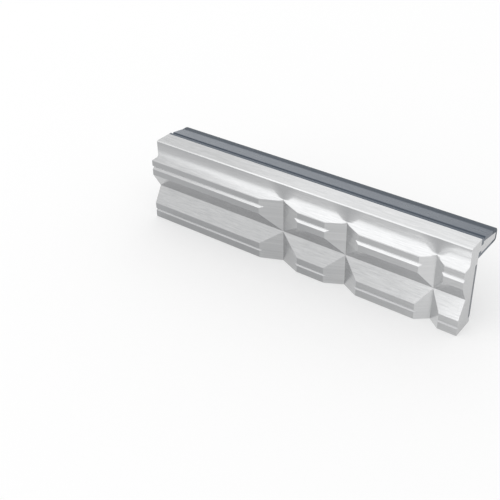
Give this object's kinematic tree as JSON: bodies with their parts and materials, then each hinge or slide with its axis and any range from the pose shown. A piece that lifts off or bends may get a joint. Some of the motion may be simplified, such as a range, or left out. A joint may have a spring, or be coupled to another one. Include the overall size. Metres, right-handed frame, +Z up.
{
  "type": "vise jaw",
  "caption": "Protective vise jaw: aluminium extrusion with a long groove crossed by milled grooves, a plastic-clad wing that rests on the vise and a magnet strip in the back.",
  "frame": {"origin": "middle of the magnet strip's bearing face, in the back plane of the jaw", "axes": "+X along the jaw, +Y out of the back towards the vise's own jaw, +Z up; the working face looks along -Y"},
  "size_m": [0.15, 0.0265, 0.0371],
  "materials": {
    "extruded_aluminium": "brushed along the length",
    "cover_plastic": "blue-grey, fine satin",
    "magnet_rubber": "mottled grey, matt"
  },
  "bodies": {
    "root": {"jaw_body": "extruded_aluminium", "wing_cover": "cover_plastic", "magnet_strip": "magnet_rubber"}
  },
  "joints": []
}
